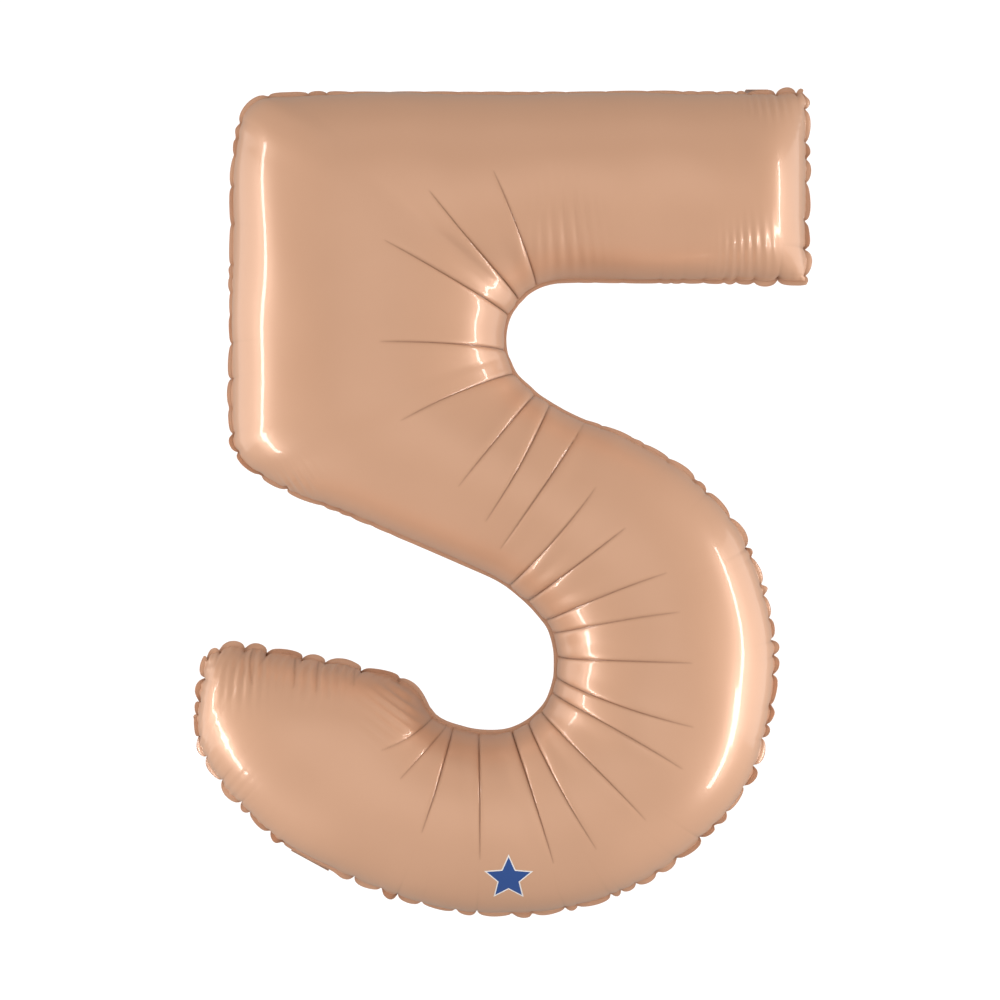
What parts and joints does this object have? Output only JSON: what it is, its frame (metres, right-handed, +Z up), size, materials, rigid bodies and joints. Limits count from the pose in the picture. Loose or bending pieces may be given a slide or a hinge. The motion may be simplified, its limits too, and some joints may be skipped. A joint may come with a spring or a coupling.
{
  "type": "foil number balloon",
  "caption": "Inflated foil balloon in the shape of the digit 5, two welded foil panels with a self-sealing valve, a folded inflation tail and folded hanging tabs.",
  "frame": {"origin": "middle of the top seam's outer edge, between the two hanging tabs, where the balloon hangs from", "axes": "+Z up the digit, +X to the reader's right, the digit is read from -Y"},
  "size_m": [0.6558, 0.2118, 0.895],
  "materials": {
    "foil_front": "gloss",
    "foil_back": "gloss",
    "foil_flap": "gloss",
    "valve_film": "satin"
  },
  "bodies": {
    "balloon": {"front_foil": "foil_front", "back_foil": "foil_back", "valve_film_front": "valve_film", "valve_film_back": "valve_film"},
    "tail": {"tail_front_ply": "foil_flap", "tail_back_ply": "foil_flap"},
    "tab_left": {"hang_tab_left": "foil_flap"},
    "tab_right": {"hang_tab_right": "foil_flap"}
  },
  "joints": [
    {"name": "tail_fold", "type": "hinge", "parent": "balloon", "child": "tail", "pos_m": [-0.20588, 0, -0.83468], "axis": [-0.878, 0, 0.4787], "range_deg": [0, 180]},
    {"name": "tab_left_fold", "type": "hinge", "parent": "balloon", "child": "tab_left", "pos_m": [-0.222, 0, -0.0035], "axis": [1, 0, 0], "range_deg": [0, 180]},
    {"name": "tab_right_fold", "type": "hinge", "parent": "balloon", "child": "tab_right", "pos_m": [0.278, 0, -0.0003], "axis": [1, 0, 0], "range_deg": [0, 180]}
  ]
}
